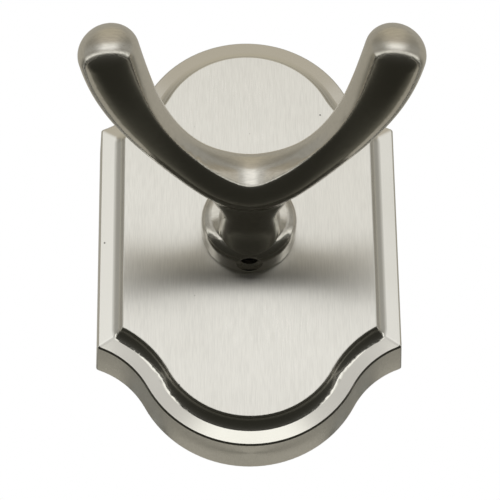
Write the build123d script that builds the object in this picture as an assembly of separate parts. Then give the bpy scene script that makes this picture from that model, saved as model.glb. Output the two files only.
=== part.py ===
"""Robe hook: two swept arms on a round foot, clamped over a moulded, hollow backplate.

Millimetres. The wall is the plane Y = 0 and the object stands in front of it, towards -Y, with +Z up.
The origin is on the wall, on the axis of the foot. A depth is a distance in front of the wall.
"""

import os
from math import asin, cos, hypot, pi, radians, sin, sqrt, tan

from build123d import *

LENGTH_TOLERANCE = 0.01

# Backplate outline
PLATE_WIDTH = 63.5
PLATE_HEIGHT = 95.25
SIDE_LENGTH = 0.5417 * PLATE_HEIGHT
ARCH_RADIUS = 0.255 * PLATE_HEIGHT
OGEE_ANGLE = 28.0
CORNER_RADIUS = 0.8

# Backplate section
LAND_DEPTH = 10.5
PANEL_DEPTH = 13.4
PANEL_RISE = PANEL_DEPTH - LAND_DEPTH
BORDER_WIDTH = 5.2
RIM_BEVEL = 0.35
LAND_RISE = 0.3 * PANEL_RISE
RISER_DRAFT = 18.0
COVE_RADIUS = 0.9 * PANEL_RISE
PANEL_EDGE_RADIUS = 0.13 * PANEL_RISE
SIDE_DRAFT = 3.7
SHELL_WALL = 2.3

# Hook reach
PROJECTION = 70.0
BULB_X = 28.0

# Round foot
FOOT_RADIUS = 10.05
FOOT_LENGTH = 6.8
FOOT_CROWN = 1.8
FOOT_SHOULDER_RADIUS = 2.6
FOOT_EDGE_RADIUS = 0.4

# Stem, evenly spaced from inside the foot to the saddle: half width, half height and height of the centre,
# as shares of the foot's radius
STEM_START = PANEL_DEPTH + 3.2
STEM_SECTIONS = (
    (0.697, 0.697, -0.289), (0.692, 0.687, -0.269), (0.652, 0.647, -0.189), (0.620, 0.597, -0.100),
    (0.622, 0.567, -0.030), (0.726, 0.547, 0.030), (0.850, 0.545, 0.085), (0.905, 0.545, 0.139),
)
WEB_FILLET = 3.0

# Hook arms: the centre line of one arm is a Bezier curve from the saddle to the bulb
BULB_DEPTH = 0.914 * PROJECTION
BULB_RISE = 0.197 * PROJECTION
SADDLE_DEPTH = 0.470 * PROJECTION
SADDLE_RISE = 0.020 * PROJECTION
SADDLE_REACH = 0.30 * BULB_X
ELBOW_X = 0.818 * BULB_X
ELBOW_DEPTH = 0.681 * PROJECTION
ELBOW_RISE = 0.056 * PROJECTION

# Half sizes of the arm's section: upright, then towards the inside of the bend
SADDLE_SECTION = (6.1, 4.8)
WAIST_SECTION = (4.5, 4.3)
BULB_SECTION = (7.2, 6.1)
BULB_CAP_LENGTH = 5.4
WAIST_POSITION = 0.38
ARM_SECTIONS = 9

# The arm's section at half size 1, as (up, in) points: round, but for a soft arris low on the inside
ARRIS_SECTION = (
    (1.00, 0.00), (0.80, 0.57), (0.42, 0.86), (0.02, 0.945), (-0.36, 0.915), (-0.58, 0.875), (-0.68, 0.78),
    (-0.87, 0.44), (-1.00, 0.00), (-0.74, -0.67), (0.00, -1.00), (0.74, -0.67),
)
ARRIS_FADE_START = 0.55

# Fixings inside
STUD_RADIUS = 5.5
STUD_PLAY = 0.05
STUD_HOLE_PLAY = 0.4
STUD_NOSE_CHAMFER = 0.4
SOCKET_DEPTH = PANEL_DEPTH + 5.8
SOCKET_FLOOR_GAP = 0.2
RIVET_RADIUS = 3.0
GROOVE_BITE = 0.6
BRACKET_THICKNESS = 2.5
BRACKET_WIDTH = 22.0
BRACKET_HEIGHT = 46.0
BRACKET_CORNER_RADIUS = 4.0
BRACKET_HOLE_RADIUS = 2.4
BRACKET_HOLE_SPACING = 32.0
SET_SCREW_DEPTH = PANEL_DEPTH + 3.8
SET_SCREW_RADIUS = 1.65
SET_SCREW_TIP_RADIUS = 0.8
SET_SCREW_SINK = 1.6
SET_SCREW_END_CHAMFER = 0.25
KEY_ACROSS_CORNERS = 2.3
KEY_DEPTH = 1.6
MOUTH_CHAMFER = 0.45
SPOT_FACE_RADIUS = 2.75
SPOT_FACE_SINK = 0.65


def front(depth: float) -> Plane:
    """A plane parallel to the wall, facing forward, with its X and Y along the world's X and Z."""
    return Plane(origin=(0, -depth, 0), x_dir=(1, 0, 0), z_dir=(0, -1, 0))


def at(x: float, depth: float, z: float) -> Vector:
    """A point given by its depth in front of the wall."""
    return Vector(x, -depth, z)


def plate_outline(inset: float) -> Sketch:
    """The backplate's outline moved inwards by inset, as a closed face on the XY plane.

    The straight sides end in corners, and a hollow arc runs from each corner, tangent to the end arch.
    """
    half_width = PLATE_WIDTH / 2
    arch_centre = PLATE_HEIGHT / 2 - ARCH_RADIUS
    corner = (half_width, SIDE_LENGTH / 2 - arch_centre)
    across, up = cos(radians(OGEE_ANGLE)), sin(radians(OGEE_ANGLE))
    along = across * corner[0] + up * corner[1]
    reach_squared = corner[0] ** 2 + corner[1] ** 2
    ogee_radius = (reach_squared + ARCH_RADIUS**2 - 2 * ARCH_RADIUS * along) / (2 * (along - ARCH_RADIUS))
    ogee_x = (ARCH_RADIUS + ogee_radius) * across
    ogee_z = arch_centre + (ARCH_RADIUS + ogee_radius) * up
    arch = ARCH_RADIUS - inset
    hollow = ogee_radius + inset
    side = half_width - inset
    top = PLATE_HEIGHT / 2 - inset
    corner_z = ogee_z - sqrt(hollow**2 - (ogee_x - side) ** 2)
    tangent = (arch * across, arch_centre + arch * up)
    bend = (asin((ogee_x - side) / hollow) + radians(90 - OGEE_ANGLE)) / 2
    middle = (ogee_x - hollow * sin(bend), ogee_z - hollow * cos(bend))
    with BuildSketch(Plane.XY) as outline:
        with BuildLine():
            for sx, sz in ((1, 1), (-1, -1)):
                Line((sx * side, -sz * corner_z), (sx * side, sz * corner_z))
                ThreePointArc(
                    (sx * side, sz * corner_z),
                    (sx * middle[0], sz * middle[1]),
                    (sx * tangent[0], sz * tangent[1]),
                )
                ThreePointArc(
                    (sx * tangent[0], sz * tangent[1]),
                    (0, sz * top),
                    (-sx * tangent[0], sz * tangent[1]),
                )
                ThreePointArc(
                    (-sx * tangent[0], sz * tangent[1]),
                    (-sx * middle[0], sz * middle[1]),
                    (-sx * side, sz * corner_z),
                )
        make_face()
    return outline.sketch


def soft_outline(inset: float, depth: float) -> Sketch:
    """The backplate's outline at one depth, with the four corners rounded."""
    outline = plate_outline(inset)
    half_width = outline.bounding_box().max.X
    corners = [v for v in outline.vertices() if abs(v.X) > half_width - LENGTH_TOLERANCE]
    return front(depth) * fillet(corners, CORNER_RADIUS)


def edges_at(piece: Part, depth: float) -> ShapeList:
    """The edges of a piece that lie at one depth."""
    return piece.edges().filter_by_position(Axis.Y, -depth - LENGTH_TOLERANCE, -depth + LENGTH_TOLERANCE)


def cavity_step(inset: float, floor_depth: float) -> Part:
    """A straight-walled hollow from the wall to floor_depth, inset from the backplate's outline."""
    return extrude(front(0) * plate_outline(inset), floor_depth)


def backplate() -> Part:
    """Cast shell: drafted side wall, sloping land, cove and raised panel, open behind."""
    flare = LAND_DEPTH * tan(radians(SIDE_DRAFT))
    slope = LAND_RISE / BORDER_WIDTH
    draft = tan(radians(RISER_DRAFT))
    riser_inset = (BORDER_WIDTH - PANEL_RISE * draft) / (1 - slope * draft)
    riser_depth = LAND_DEPTH + riser_inset * slope
    outlines = [
        soft_outline(-flare, 0),
        soft_outline(0, LAND_DEPTH - RIM_BEVEL),
        soft_outline(RIM_BEVEL, LAND_DEPTH + RIM_BEVEL * slope),
        soft_outline(riser_inset, riser_depth),
        soft_outline(BORDER_WIDTH, PANEL_DEPTH),
    ]
    shell = Part()
    for lower, upper in zip(outlines, outlines[1:]):
        shell += loft([lower, upper], ruled=True)
    shell = fillet(edges_at(shell, riser_depth), COVE_RADIUS)
    shell = fillet(edges_at(shell, PANEL_DEPTH), PANEL_EDGE_RADIUS)

    shell -= cavity_step(SHELL_WALL, LAND_DEPTH - SHELL_WALL)
    shell -= cavity_step(BORDER_WIDTH + SHELL_WALL - PANEL_EDGE_RADIUS, PANEL_DEPTH - SHELL_WALL)
    stud_hole = extrude(front(0) * Circle(STUD_RADIUS + STUD_HOLE_PLAY), PANEL_DEPTH)
    return shell - stud_hole


def mounting_plate() -> Part:
    """Pressed steel plate with two screw holes and a hole for the stud's rivet."""
    profile = RectangleRounded(BRACKET_WIDTH, BRACKET_HEIGHT, BRACKET_CORNER_RADIUS)
    profile -= Circle(RIVET_RADIUS)
    for side in (-1, 1):
        profile -= Pos(0, side * BRACKET_HOLE_SPACING / 2) * Circle(BRACKET_HOLE_RADIUS)
    return extrude(front(0) * profile, BRACKET_THICKNESS)


def mounting_stud() -> Part:
    """Turned stud with a rivet tail, a chamfered nose and a groove for the set screw."""
    end = SOCKET_DEPTH - SOCKET_FLOOR_GAP
    groove_floor = STUD_RADIUS - GROOVE_BITE
    groove_half = SET_SCREW_TIP_RADIUS + GROOVE_BITE
    profile = Polyline(
        at(0, 0, 0),
        at(RIVET_RADIUS, 0, 0),
        at(RIVET_RADIUS, BRACKET_THICKNESS, 0),
        at(STUD_RADIUS, BRACKET_THICKNESS, 0),
        at(STUD_RADIUS, SET_SCREW_DEPTH - groove_half, 0),
        at(groove_floor, SET_SCREW_DEPTH - SET_SCREW_TIP_RADIUS, 0),
        at(groove_floor, SET_SCREW_DEPTH + SET_SCREW_TIP_RADIUS, 0),
        at(STUD_RADIUS, SET_SCREW_DEPTH + groove_half, 0),
        at(STUD_RADIUS - STUD_NOSE_CHAMFER, end, 0),
        at(0, end, 0),
        close=True,
    )
    return revolve(make_face(profile), Axis.Y)


def set_screw() -> Part:
    """Headless screw standing on its tip in the stud's groove, with a hexagon socket in its outer end."""
    tip_z = -(STUD_RADIUS - GROOVE_BITE)
    shoulder_z = tip_z - (SET_SCREW_RADIUS - SET_SCREW_TIP_RADIUS)
    outer_z = -(FOOT_RADIUS - SET_SCREW_SINK)
    profile = Polyline(
        at(0, 0, tip_z),
        at(SET_SCREW_TIP_RADIUS, 0, tip_z),
        at(SET_SCREW_RADIUS, 0, shoulder_z),
        at(SET_SCREW_RADIUS, 0, outer_z + SET_SCREW_END_CHAMFER),
        at(SET_SCREW_RADIUS - SET_SCREW_END_CHAMFER, 0, outer_z),
        at(0, 0, outer_z),
        close=True,
    )
    screw = revolve(make_face(profile), Axis.Z)
    key = Pos(0, 0, outer_z) * extrude(RegularPolygon(KEY_ACROSS_CORNERS / 2, 6), KEY_DEPTH)
    return Pos(0, -SET_SCREW_DEPTH, 0) * (screw - key)


def blend(start: float, end: float, share: float) -> float:
    """Ease from start to end with no slope at either end; share runs from 0 to 1."""
    return start + (end - start) * (1 - cos(pi * share)) / 2


def foot() -> Part:
    """Round foot with a softly rounded, slightly crowned front."""
    front_edge = PANEL_DEPTH + FOOT_LENGTH
    profile = Polyline(
        at(0, PANEL_DEPTH, 0),
        at(FOOT_RADIUS, PANEL_DEPTH, 0),
        at(FOOT_RADIUS, front_edge, 0),
        at(0, front_edge + FOOT_CROWN, 0),
        close=True,
    )
    disc = revolve(make_face(profile), Axis.Y)
    disc = fillet(edges_at(disc, front_edge), FOOT_SHOULDER_RADIUS)
    return fillet(edges_at(disc, PANEL_DEPTH), FOOT_EDGE_RADIUS)


def stem() -> Part:
    """Stem that leaves the foot low down, narrows to a neck and widens into the saddle."""
    sections = []
    for step, (half_width, half_height, height) in enumerate(STEM_SECTIONS):
        share = step / (len(STEM_SECTIONS) - 1)
        plane = front(STEM_START + (SADDLE_DEPTH - STEM_START) * share)
        oval = Ellipse(FOOT_RADIUS * half_width, FOOT_RADIUS * half_height)
        sections.append(plane * Pos(0, FOOT_RADIUS * height) * oval)
    return loft(sections)


def arm_half_sizes(share: float) -> tuple[float, float]:
    """The arm's two half sizes at share of its length from the saddle."""
    if share < WAIST_POSITION:
        ends, part_way = (SADDLE_SECTION, WAIST_SECTION), share / WAIST_POSITION
    else:
        ends, part_way = (WAIST_SECTION, BULB_SECTION), (share - WAIST_POSITION) / (1 - WAIST_POSITION)
    return tuple(blend(start, end, part_way) for start, end in zip(*ends))


def arm_section(half_sizes: tuple[float, float], arris: float) -> Sketch:
    """The arm's section: arris 1 has the full arris, and 0 is a plain oval."""
    points = []
    for up, inward in ARRIS_SECTION:
        reach = hypot(up, inward)
        keep = arris + (1 - arris) / reach
        points.append((up * keep * half_sizes[0], inward * keep * half_sizes[1]))
    return make_face(Spline(*points, periodic=True))


def arm_plane(centre_line: Edge, share: float) -> Plane:
    """Section plane of an arm: normal along the arm, X axis as near to upright as it can be.

    A negative share is the left arm, so planes from -1 to 1 run from one bulb to the other.
    """
    point = centre_line.position_at(abs(share))
    along = centre_line.tangent_at(abs(share))
    if share < 0:
        point = Vector(-point.X, point.Y, point.Z)
        along = Vector(along.X, -along.Y, -along.Z)
    up = Vector(0, 0, 1)
    return Plane(origin=point, x_dir=up - along * up.dot(along), z_dir=along)


def arms() -> Part:
    """Both arms and the saddle between them: one loft, with half an ellipsoid on each end."""
    centre_line = Bezier(
        at(0, SADDLE_DEPTH, SADDLE_RISE),
        at(SADDLE_REACH, SADDLE_DEPTH, SADDLE_RISE),
        at(ELBOW_X, ELBOW_DEPTH, ELBOW_RISE),
        at(BULB_X, BULB_DEPTH, BULB_RISE),
    )
    sections = [arm_plane(centre_line, -1) * Ellipse(*BULB_SECTION)]
    for step in range(1 - ARM_SECTIONS, ARM_SECTIONS):
        share = step / ARM_SECTIONS
        fade = max(0, abs(share) - ARRIS_FADE_START) / (1 - ARRIS_FADE_START)
        section = arm_section(arm_half_sizes(abs(share)), blend(1, 0, fade))
        sections.append(arm_plane(centre_line, share) * section)
    sections.append(arm_plane(centre_line, 1) * Ellipse(*BULB_SECTION))
    body = loft(sections)

    cap = split(scale(Sphere(1), by=(*BULB_SECTION, BULB_CAP_LENGTH)), bisect_by=Plane.XY, keep=Keep.TOP)
    for side in (-1, 1):
        plane = arm_plane(centre_line, side)
        body += Plane(origin=plane.origin, x_dir=plane.x_dir, z_dir=plane.z_dir * side) * cap
    return body


def hook() -> Part:
    """One casting: round foot, stem and two arms, with the stud's socket and the set-screw hole."""
    body = stem() + arms()
    web_to_arms = body.edges().sort_by(Axis.Y)[-3]
    body = foot() + fillet(web_to_arms, WEB_FILLET)
    socket = extrude(front(PANEL_DEPTH) * Circle(STUD_RADIUS + STUD_PLAY), SOCKET_DEPTH - PANEL_DEPTH)
    from_below = (Align.CENTER, Align.CENTER, Align.MIN)
    hole = Cylinder(SET_SCREW_RADIUS, FOOT_RADIUS, align=from_below)
    hole += Cylinder(SPOT_FACE_RADIUS, SPOT_FACE_SINK, align=from_below)
    hole += Pos(0, 0, SPOT_FACE_SINK) * Cone(
        SET_SCREW_RADIUS + MOUTH_CHAMFER, SET_SCREW_RADIUS, MOUTH_CHAMFER, align=from_below
    )
    return body - socket - Pos(0, -SET_SCREW_DEPTH, -FOOT_RADIUS) * hole


NODES = {
    "backplate": backplate,
    "mounting_plate": mounting_plate,
    "mounting_stud": mounting_stud,
    "hook": hook,
    "set_screw": set_screw,
}


def main() -> None:
    """Build every piece and write one STEP file for each."""
    os.makedirs("parts", exist_ok=True)
    for name, build in NODES.items():
        piece = build()
        piece.label = name
        export_step(piece, f"parts/{name}.step")
        box = piece.bounding_box()
        print(name, len(piece.solids()), round(piece.volume), box.min, box.max)


if __name__ == "__main__":
    main()
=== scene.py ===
"""Robe hook in satin nickel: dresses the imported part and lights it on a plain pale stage."""

import logging
from dataclasses import dataclass, replace
from enum import Enum
from math import cos, radians, sin
from typing import Any

import bpy
from mathutils import Matrix, Vector

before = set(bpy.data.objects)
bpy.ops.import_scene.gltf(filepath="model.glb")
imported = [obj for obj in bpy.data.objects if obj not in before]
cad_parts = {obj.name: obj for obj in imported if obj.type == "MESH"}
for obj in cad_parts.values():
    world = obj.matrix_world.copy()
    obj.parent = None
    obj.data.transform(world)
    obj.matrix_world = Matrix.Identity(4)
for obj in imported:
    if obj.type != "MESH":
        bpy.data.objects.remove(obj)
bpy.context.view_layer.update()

MM = 0.001

logging.basicConfig(level=logging.INFO, format="%(message)s")
log = logging.getLogger("robe_hook")

Triple = tuple[float, float, float]


class Socket:
    """A shader value that can be used in arithmetic; each operation adds a Math node."""

    def __init__(self, shader: "Shader", link: bpy.types.NodeSocket) -> None:
        """Keep the node tree and the output that carries the value.

        Args:
            shader: the shader that the output belongs to.
            link: the output socket.
        """
        self.shader = shader
        self.link = link

    def __add__(self, other: "Value") -> "Socket":
        """Return self + other."""
        return self.shader.math("ADD", self, other)

    def __radd__(self, other: "Value") -> "Socket":
        """Return other + self."""
        return self.shader.math("ADD", other, self)

    def __sub__(self, other: "Value") -> "Socket":
        """Return self - other."""
        return self.shader.math("SUBTRACT", self, other)

    def __mul__(self, other: "Value") -> "Socket":
        """Return self * other."""
        return self.shader.math("MULTIPLY", self, other)

    def __rmul__(self, other: "Value") -> "Socket":
        """Return other * self."""
        return self.shader.math("MULTIPLY", other, self)

    def __lt__(self, other: "Value") -> "Socket":
        """Return 1 where self is less than other, else 0."""
        return self.shader.math("LESS_THAN", self, other)


Value = Socket | float


class Shader:
    """Builds the node tree of one material or world."""

    def __init__(self, tree: bpy.types.NodeTree) -> None:
        """Empty the tree and keep it.

        Args:
            tree: the node tree to fill.
        """
        self.tree = tree
        tree.nodes.clear()

    def node(self, kind: str, settings: dict[str, Any] | None = None,
             inputs: dict[str | int, Any] | None = None) -> bpy.types.Node:
        """Add one node.

        Args:
            kind: the node's Blender type name.
            settings: properties set before anything is connected; "stops" fills a colour ramp.
            inputs: a value, a Socket or an output socket for each named or numbered input.

        Returns:
            The new node.
        """
        node = self.tree.nodes.new(kind)
        for name, value in (settings or {}).items():
            if name == "stops":
                self._fill_ramp(node.color_ramp, value)
            else:
                setattr(node, name, value)
        for name, value in (inputs or {}).items():
            source = value.link if isinstance(value, Socket) else value
            if isinstance(source, bpy.types.NodeSocket):
                self.tree.links.new(source, node.inputs[name])
            else:
                node.inputs[name].default_value = source
        return node

    @staticmethod
    def _fill_ramp(ramp: bpy.types.ColorRamp, stops: tuple[tuple[float, Triple], ...]) -> None:
        """Set a ramp's stops.

        Args:
            ramp: the ramp to fill.
            stops: a position and a colour for each stop.
        """
        while len(ramp.elements) < len(stops):
            ramp.elements.new(0.5)
        for element, (position, colour) in zip(ramp.elements, stops):
            element.position = position
            element.color = (*colour, 1.0)

    def math(self, operation: str, first: Value, second: Value = 0.0, clamp: bool = False) -> Socket:
        """Return the result of a Math node.

        Args:
            operation: the node's operation.
            first: first operand.
            second: second operand.
            clamp: keep the result between 0 and 1.

        Returns:
            The result.
        """
        settings = {"operation": operation, "use_clamp": clamp}
        node = self.node("ShaderNodeMath", settings, {0: first, 1: second})
        return Socket(self, node.outputs[0])

    def clamp(self, value: Value) -> Socket:
        """Return value kept between 0 and 1."""
        return self.math("ADD", value, 0.0, clamp=True)

    def smooth_step(self, value: Value, low: float, high: float) -> Socket:
        """Return a smooth 0 to 1 as value goes from low to high.

        Args:
            value: the value that changes.
            low: where the result is 0.
            high: where the result is 1.

        Returns:
            The smooth step.
        """
        inputs = {"Value": value, "From Min": low, "From Max": high}
        node = self.node("ShaderNodeMapRange", {"interpolation_type": "SMOOTHSTEP"}, inputs)
        return Socket(self, node.outputs["Result"])

    def axes(self, vector: bpy.types.NodeSocket) -> tuple[Socket, Socket, Socket]:
        """Split a vector into its three parts."""
        node = self.node("ShaderNodeSeparateXYZ", None, {"Vector": vector})
        return tuple(Socket(self, output) for output in node.outputs)

    def object_axes(self) -> tuple[Socket, Socket, Socket]:
        """Return the piece's own X, Y and Z."""
        return self.axes(self.node("ShaderNodeTexCoord").outputs["Object"])

    def place(self, scale: Triple) -> bpy.types.NodeSocket:
        """Return the piece's own coordinates, scaled along each axis.

        Args:
            scale: factors for X, Y and Z, in pattern units for each metre.

        Returns:
            The scaled coordinates.
        """
        source = self.node("ShaderNodeTexCoord")
        inputs = {"Vector": source.outputs["Object"], "Scale": scale}
        return self.node("ShaderNodeMapping", None, inputs).outputs["Vector"]

    def noise(self, scale: Triple, detail: float = 2.0) -> Socket:
        """Return a noise pattern from 0 to 1 over the piece.

        Args:
            scale: features for each metre along X, Y and Z.
            detail: octaves.

        Returns:
            The pattern.
        """
        inputs = {"Vector": self.place(scale), "Scale": 1.0, "Detail": detail, "Roughness": 0.5}
        return Socket(self, self.node("ShaderNodeTexNoise", None, inputs).outputs["Fac"])

    def mix_colour(self, share: Value, first: Any, second: Any) -> bpy.types.NodeSocket:
        """Return first blended towards second by share.

        Args:
            share: 0 gives first, 1 gives second.
            first: a colour or a colour output.
            second: a colour or a colour output.

        Returns:
            The blended colour.
        """
        pair = [(*c, 1.0) if isinstance(c, tuple) else c for c in (first, second)]
        inputs = {0: share, 6: pair[0], 7: pair[1]}
        return self.node("ShaderNodeMix", {"data_type": "RGBA"}, inputs).outputs[2]

    def emission(self, kind: str, colour: Any, strength: float) -> bpy.types.NodeSocket:
        """Return a glowing surface or background.

        Args:
            kind: the node's Blender type name.
            colour: a colour or a colour output.
            strength: brightness.

        Returns:
            The shader output.
        """
        tint = (*colour, 1.0) if isinstance(colour, tuple) else colour
        return self.node(kind, None, {"Color": tint, "Strength": strength}).outputs[0]

    def paint(self, colour: Any, roughness: float) -> bpy.types.NodeSocket:
        """Return a matt painted surface.

        Args:
            colour: a colour or a colour output.
            roughness: the surface's roughness.

        Returns:
            The shader output.
        """
        tint = (*colour, 1.0) if isinstance(colour, tuple) else colour
        inputs = {"Base Color": tint, "Roughness": roughness}
        return self.node("ShaderNodeBsdfPrincipled", None, inputs).outputs[0]

    def mix_shaders(self, share: Value, first: bpy.types.NodeSocket,
                    second: bpy.types.NodeSocket) -> bpy.types.NodeSocket:
        """Return first blended towards second by share."""
        return self.node("ShaderNodeMixShader", None, {0: share, 1: first, 2: second}).outputs[0]

    def seen_by_camera(self) -> Socket:
        """Return 1 for what the camera sees directly, else 0."""
        return Socket(self, self.node("ShaderNodeLightPath").outputs["Is Camera Ray"])

    def finish(self, kind: str, surface: bpy.types.NodeSocket) -> None:
        """Connect the tree's output node of the given type."""
        self.node(kind, None, {"Surface": surface})


class Brush(Enum):
    """How a metal surface was brushed."""

    UPRIGHT = "upright"
    ALL_ROUND = "all_round"
    NONE = "none"


@dataclass(frozen=True)
class Lines:
    """Pattern of brush lines.

    Attributes:
        fine: fine lines for each metre along X, Y and Z.
        coarse: coarse lines for each metre along X, Y and Z.
        fine_share: weight of the fine lines, from 0 to 1.
    """

    fine: Triple
    coarse: Triple
    fine_share: float


LINES = {
    Brush.UPRIGHT: Lines((6800.0, 1200.0, 300.0), (2600.0, 500.0, 110.0), 0.7),
    Brush.ALL_ROUND: Lines((700.0, 3600.0, 3600.0), (300.0, 1500.0, 1500.0), 0.6),
}
# Pattern sizes in features for each metre, octaves of detail, and a speck's radius in cells.
GRAIN_SCALE = (2500.0, 2500.0, 2500.0)
CLOUD_SCALE = (40.0, 40.0, 40.0)
SPECK_SCALE = (260.0, 260.0, 260.0)
CLOUD_DETAIL = 3.0
GRAIN_DETAIL = 1.0
SPECK_RADIUS = 0.05

# A share is how strongly an effect shows, a range the part of its pattern over which it comes in, and a
# shade the part of the metal's brightness that stays under it.
STAIN_SHARE = 0.35
STAIN_RANGE = (0.45, 0.75)
WEAR_SHARE = 0.36
WEAR_RANGE = (0.4, 0.62)
WEAR_SHADE = 0.78
SPECK_SHADE = 0.25

# A finish's roughness times the even part, and times the cloud part where the cloud pattern is full. The
# line part is added as it is.
EVEN_ROUGHNESS = 0.86
CLOUD_ROUGHNESS = 0.2
LINE_ROUGHNESS = 0.05
LINE_HEIGHT = 0.02 * MM

# The brushing comes in over this much behind the moulding's back edge, and from the first to the second of
# these depths behind the panel's front.
WALL_BLEND = 0.1 * MM
PANEL_BLEND = (0.25 * MM, 0.02 * MM)


@dataclass(frozen=True)
class MetalFinish:
    """A plated or bare metal surface.

    Attributes:
        name: material name.
        colour: reflected colour.
        stain: colour of the faint darker film in places.
        roughness: roughness, before the clouds and the lines vary it.
        anisotropy: how much the brushing spreads reflections across its lines.
        brush: direction of the brush lines.
        brush_depth: bump strength of the lines.
        speck_share: how much of the surface carries tiny dark specks, from 0 to 1.
        polished: the depths in front of the wall, in metres, between which it is polished, not brushed.
        polished_roughness: roughness of the polished surface.
    """

    name: str
    colour: Triple
    stain: Triple
    roughness: float
    anisotropy: float = 0.0
    brush: Brush = Brush.NONE
    brush_depth: float = 0.0
    speck_share: float = 0.0
    polished: tuple[float, float] | None = None
    polished_roughness: float = 0.0

    def material(self) -> bpy.types.Material:
        """Build the material.

        Returns:
            The new material.
        """
        material = bpy.data.materials.new(self.name)
        material.use_nodes = True
        shader = Shader(material.node_tree)
        cloud = shader.noise(CLOUD_SCALE, CLOUD_DETAIL)
        lines = self._lines(shader)
        clouded = self.roughness * (EVEN_ROUGHNESS + CLOUD_ROUGHNESS * cloud)
        roughness = clouded + LINE_ROUGHNESS * (lines - 0.5)
        stained = STAIN_SHARE * shader.smooth_step(cloud, *STAIN_RANGE)
        worn = WEAR_SHARE * shader.smooth_step(lines, *WEAR_RANGE)
        if self.polished:
            brushed = self._brushed(shader)
            roughness = self.polished_roughness + brushed * (roughness - self.polished_roughness)
            worn = brushed * worn
        colour = shader.mix_colour(stained, self.colour, self.stain)
        colour = shader.mix_colour(worn, colour, self._darker(WEAR_SHADE))
        if self.speck_share > 0:
            colour = shader.mix_colour(self._specks(shader), colour, self._darker(SPECK_SHADE))
        bump_inputs = {"Strength": self.brush_depth, "Distance": LINE_HEIGHT, "Height": lines}
        bump = shader.node("ShaderNodeBump", None, bump_inputs)
        surface = shader.node("ShaderNodeBsdfPrincipled", None, {
            "Base Color": colour, "Metallic": 1.0, "Roughness": roughness,
            "Anisotropic": self.anisotropy, "Normal": bump.outputs["Normal"],
        })
        shader.finish("ShaderNodeOutputMaterial", surface.outputs[0])
        return material

    def _darker(self, factor: float) -> Triple:
        """Return the reflected colour times factor."""
        return tuple(factor * part for part in self.colour)

    def _lines(self, shader: Shader) -> Socket:
        """Lay the brush lines, or a plain grain where nothing was brushed.

        Args:
            shader: the shader to add them to.

        Returns:
            The pattern, from 0 to 1.
        """
        if self.brush is Brush.NONE:
            return shader.noise(GRAIN_SCALE, GRAIN_DETAIL)
        lines = LINES[self.brush]
        fine = lines.fine_share * shader.noise(lines.fine)
        return fine + (1.0 - lines.fine_share) * shader.noise(lines.coarse)

    def _brushed(self, shader: Shader) -> Socket:
        """Tell the brushed surfaces from the polished moulding.

        Args:
            shader: the shader to add the mask to.

        Returns:
            1 on the side wall and the panel, and 0 on the moulding between them.
        """
        start, end = self.polished
        _, back, _ = shader.object_axes()
        wall = shader.smooth_step(back, -start, WALL_BLEND - start)
        panel = shader.smooth_step(-1.0 * back, *(end - width for width in PANEL_BLEND))
        return shader.clamp(wall + panel)

    def _specks(self, shader: Shader) -> Socket:
        """Scatter tiny specks.

        Args:
            shader: the shader to add them to.

        Returns:
            1 in a speck, and 0 elsewhere.
        """
        inputs = {"Vector": shader.place(SPECK_SCALE), "Scale": 1.0}
        cells = shader.node("ShaderNodeTexVoronoi", None, inputs)
        near = Socket(shader, cells.outputs["Distance"]) < SPECK_RADIUS
        chosen, _, _ = shader.axes(cells.outputs["Color"])
        return near * (chosen < self.speck_share)


def dress_node(name: str, finish: MetalFinish) -> None:
    """Put a finish on a piece of the frame.

    Args:
        name: the node's name.
        finish: the finish to build.
    """
    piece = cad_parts[name]
    piece.data.materials.clear()
    piece.data.materials.append(finish.material())
    log.info("%s: %s, %d faces", name, finish.name, len(piece.data.polygons))


@dataclass
class Backplate:
    """The moulded escutcheon: a brushed panel inside a polished moulding.

    Attributes:
        finish: its finish.
        moulding_depth: from the panel's front back to the start of the side wall, in metres.
    """

    finish: MetalFinish = MetalFinish(
        "satin_nickel_plate", (0.79, 0.775, 0.74), (0.7, 0.68, 0.63), 0.3,
        anisotropy=0.72, brush=Brush.UPRIGHT, brush_depth=0.25, speck_share=0.2, polished_roughness=0.15)
    moulding_depth: float = 3.25 * MM

    def dress(self) -> None:
        """Give the casting its finish, with the polish placed from the panel's front."""
        panel_front = -min(corner[1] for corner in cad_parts["backplate"].bound_box)
        polished = (panel_front - self.moulding_depth, panel_front)
        dress_node("backplate", replace(self.finish, polished=polished))


@dataclass
class Hook:
    """The double hook casting.

    Attributes:
        finish: its finish.
    """

    finish: MetalFinish = MetalFinish(
        "satin_nickel_hook", (0.74, 0.715, 0.665), (0.6, 0.56, 0.48), 0.19,
        brush=Brush.ALL_ROUND, brush_depth=0.4, speck_share=0.05)

    def dress(self) -> None:
        """Give the casting its finish."""
        dress_node("hook", self.finish)


@dataclass
class Fixings:
    """The set screw and the parts hidden behind the backplate.

    Attributes:
        screw: finish of the set screw.
        plate: finish of the mounting plate.
        stud: finish of the mounting stud.
    """

    screw: MetalFinish = MetalFinish("black_oxide_screw", (0.12, 0.115, 0.11), (0.06, 0.06, 0.06), 0.42)
    plate: MetalFinish = MetalFinish("zinc_plated_steel", (0.62, 0.63, 0.62), (0.5, 0.48, 0.4), 0.35)
    stud: MetalFinish = MetalFinish("turned_steel", (0.56, 0.55, 0.53), (0.42, 0.4, 0.38), 0.3)

    def dress(self) -> None:
        """Give each fixing its finish."""
        dress_node("set_screw", self.screw)
        dress_node("mounting_plate", self.plate)
        dress_node("mounting_stud", self.stud)


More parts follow.
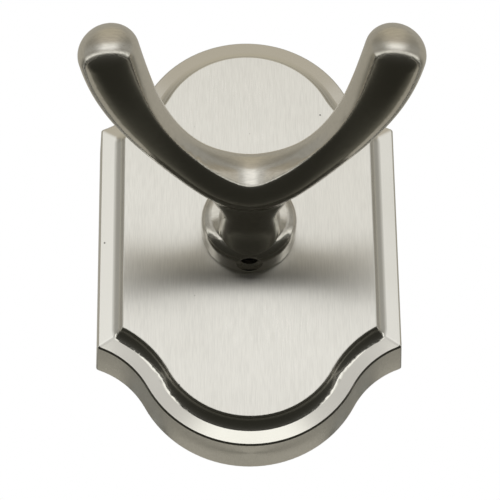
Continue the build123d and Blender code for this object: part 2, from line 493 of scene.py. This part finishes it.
@dataclass
class Camera:
    """The camera, below the object and looking up at it.

    Attributes:
        climb: how far the view looks up, in degrees.
        turn: how far the view is turned from straight on, in degrees.
        roll: how far the camera is tilted about its own axis, in degrees.
        distance: from the camera to the point it looks at, in metres.
        target: the point it looks at, in metres.
        lens: focal length over sensor width.
        sensor_width: in millimetres.
    """

    climb: float = 25.51
    turn: float = 1.28
    roll: float = -0.70
    distance: float = 0.5154
    target: Triple = (0.00053, 0.0, 0.00171)
    lens: float = 4.74
    sensor_width: float = 36.0

    def build(self) -> None:
        """Place the camera and make it the scene's own."""
        climb, turn, roll = (radians(angle) for angle in (self.climb, self.turn, self.roll))
        forward = Vector((sin(turn) * cos(climb), cos(turn) * cos(climb), sin(climb)))
        level = Vector((cos(turn), -sin(turn), 0.0))
        upright = level.cross(forward)
        right = cos(roll) * level + sin(roll) * upright
        up = cos(roll) * upright - sin(roll) * level
        bpy.ops.object.camera_add()
        camera = bpy.context.object
        axes = Matrix((right, up, -forward)).transposed().to_4x4()
        camera.matrix_world = Matrix.Translation(Vector(self.target) - forward * self.distance) @ axes
        camera.data.sensor_width = self.sensor_width
        camera.data.lens = self.lens * self.sensor_width
        camera.data.clip_start = 0.01
        bpy.context.scene.camera = camera


@dataclass
class Stage:
    """The pale floor, and a dark card on it for the dark side of the metal's reflections.

    Attributes:
        floor_z: height of the floor, in metres.
        floor_size: width of the floor, in metres.
        floor_colour: colour of the floor.
        fade: distances from the middle between which the floor turns white for the camera, in metres.
        card_y: place of the card's middle, in metres.
        card_size: width and depth of the card, in metres.
        card_lift: height of the card above the floor, in metres.
        card_dark: colour of the card's front.
        card_pale: colour of the card's back edge.
        card_fade: shares of the card's depth, from its middle, between which it turns pale.
        card_roughness: roughness of the card.
        floor_roughness: roughness of the floor.
    """

    floor_z: float = -0.26
    floor_size: float = 4.0
    floor_colour: Triple = (0.86, 0.86, 0.85)
    floor_roughness: float = 0.7
    fade: tuple[float, float] = (0.25, 1.2)
    card_y: float = -0.85
    card_size: tuple[float, float] = (3.2, 2.3)
    card_lift: float = 0.006
    card_dark: Triple = (0.035, 0.036, 0.03)
    card_pale: Triple = (0.26, 0.265, 0.245)
    card_fade: tuple[float, float] = (0.36, 0.47)
    card_roughness: float = 0.8

    def build(self) -> None:
        """Lay the floor and the card."""
        self.add_floor()
        self.add_card()

    def add_floor(self) -> None:
        """Lay a plain pale floor that fades to the white surroundings."""
        floor = self._add_plane("floor", self.floor_size, (0.0, 0.0, self.floor_z))
        shader = self._new_shader(floor, "pale_floor")
        across, along, _ = shader.object_axes()
        away = shader.math("SQRT", across * across + along * along)
        share = shader.smooth_step(away, *self.fade) * shader.seen_by_camera()
        white = shader.emission("ShaderNodeEmission", (1.0, 1.0, 1.0), 1.0)
        paint = shader.paint(self.floor_colour, self.floor_roughness)
        shader.finish("ShaderNodeOutputMaterial", shader.mix_shaders(share, paint, white))

    def add_card(self) -> None:
        """Lay a card that only the metal's reflections see, dark in front and paler behind."""
        card = self._add_plane("dark_card", 1.0, (0.0, self.card_y, self.floor_z + self.card_lift))
        card.scale = (*self.card_size, 1.0)
        card.visible_camera = False
        card.visible_diffuse = False
        card.visible_shadow = False
        shader = self._new_shader(card, "black_card")
        _, along, _ = shader.object_axes()
        colour = shader.mix_colour(shader.smooth_step(along, *self.card_fade), self.card_dark, self.card_pale)
        shader.finish("ShaderNodeOutputMaterial", shader.paint(colour, self.card_roughness))

    @staticmethod
    def _add_plane(name: str, size: float, place: Triple) -> bpy.types.Object:
        """Add a square plane.

        Args:
            name: the object's name.
            size: width, in metres.
            place: its middle, in metres.

        Returns:
            The new object.
        """
        bpy.ops.object.select_all(action="DESELECT")
        bpy.ops.mesh.primitive_plane_add(size=size, location=place)
        plane = bpy.context.object
        plane.name = name
        return plane

    @staticmethod
    def _new_shader(piece: bpy.types.Object, name: str) -> Shader:
        """Give a piece a new material.

        Args:
            piece: the piece.
            name: the material's name.

        Returns:
            The material's empty shader.
        """
        material = bpy.data.materials.new(name)
        material.use_nodes = True
        piece.data.materials.append(material)
        return Shader(material.node_tree)


@dataclass
class Surroundings:
    """Soft light from all round: what the metal reflects, and white for the camera.

    Each fade or rise is a pair of values of a direction's X, Y or Z, over which a colour comes in.

    Attributes:
        strength: what every colour below is multiplied by.
        sky: colours in front by height: 0 is straight down, 0.5 level and 1 straight up. A narrow bright
            strip stands just above level, then a dimmer gap, a broad soft lamp and a tan ceiling.
        aside: colour at the sides.
        aside_share: how strongly the sides take that colour.
        aside_fade: fade towards either side, by X.
        aside_rise: where that colour comes in above the bright strip, by Z.
        wall_low: colour of the wall behind near level.
        wall_high: colour of the wall behind higher up.
        wall_fade: fade from the low to the high colour, by Z.
        behind_fade: fade from the front to the wall behind, by Y.
        behind_rise: fade of that wall upwards from level, by Z.
    """

    strength: float = 2.0
    sky: tuple[tuple[float, Triple], ...] = (
        (0.0, (0.02, 0.02, 0.017)), (0.499, (0.025, 0.025, 0.021)),
        (0.503, (0.66, 0.66, 0.62)), (0.532, (0.66, 0.66, 0.62)),
        (0.55, (0.34, 0.335, 0.32)), (0.62, (0.36, 0.355, 0.34)),
        (0.66, (0.6, 0.6, 0.585)), (0.75, (0.5, 0.497, 0.475)),
        (0.83, (0.27, 0.25, 0.21)), (1.0, (0.26, 0.24, 0.19)),
    )
    aside: Triple = (0.12, 0.116, 0.1)
    aside_share: float = 0.85
    aside_fade: tuple[float, float] = (0.16, 0.8)
    aside_rise: tuple[float, float] = (0.09, 0.2)
    wall_low: Triple = (0.07, 0.068, 0.058)
    wall_high: Triple = (0.21, 0.2, 0.172)
    wall_fade: tuple[float, float] = (0.05, 0.3)
    behind_fade: tuple[float, float] = (-0.1, 0.3)
    behind_rise: tuple[float, float] = (-0.02, 0.05)

    def build(self) -> None:
        """Make the world and choose the view transform."""
        world = bpy.data.worlds.new("studio_world")
        bpy.context.scene.world = world
        world.use_nodes = True
        shader = Shader(world.node_tree)
        across, back, height = shader.axes(shader.node("ShaderNodeTexCoord").outputs["Generated"])
        front = self._front(shader, across, height)
        wall = shader.mix_colour(shader.smooth_step(height, *self.wall_fade), self.wall_low, self.wall_high)
        risen = shader.smooth_step(height, *self.behind_rise)
        behind = shader.smooth_step(back, *self.behind_fade) * risen
        around = shader.mix_colour(behind, front, wall)
        soft = shader.emission("ShaderNodeBackground", around, self.strength)
        white = shader.emission("ShaderNodeBackground", (1.0, 1.0, 1.0), 1.0)
        surface = shader.mix_shaders(shader.seen_by_camera(), soft, white)
        shader.finish("ShaderNodeOutputWorld", surface)
        bpy.context.scene.view_settings.view_transform = "Standard"

    def _front(self, shader: Shader, across: Socket, height: Socket) -> bpy.types.NodeSocket:
        """Colour what stands in front, darker at the sides except in the bright strip.

        Args:
            shader: the world's shader.
            across: X of the direction.
            height: Z of the direction.

        Returns:
            The colour.
        """
        ramp = shader.node("ShaderNodeValToRGB", {"stops": self.sky}, {"Fac": 0.5 * height + 0.5})
        to_side = shader.smooth_step(shader.math("ABSOLUTE", across), *self.aside_fade)
        above_strip = shader.smooth_step(height, *self.aside_rise)
        share = self.aside_share * to_side * above_strip
        return shader.mix_colour(share, ramp.outputs["Color"], self.aside)


def main() -> None:
    """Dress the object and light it."""
    for part in (Backplate(), Hook(), Fixings()):
        part.dress()
    for setting in (Camera(), Stage(), Surroundings()):
        setting.build()
        log.info("%s: built", type(setting).__name__.lower())


if __name__ == "__main__":
    main()
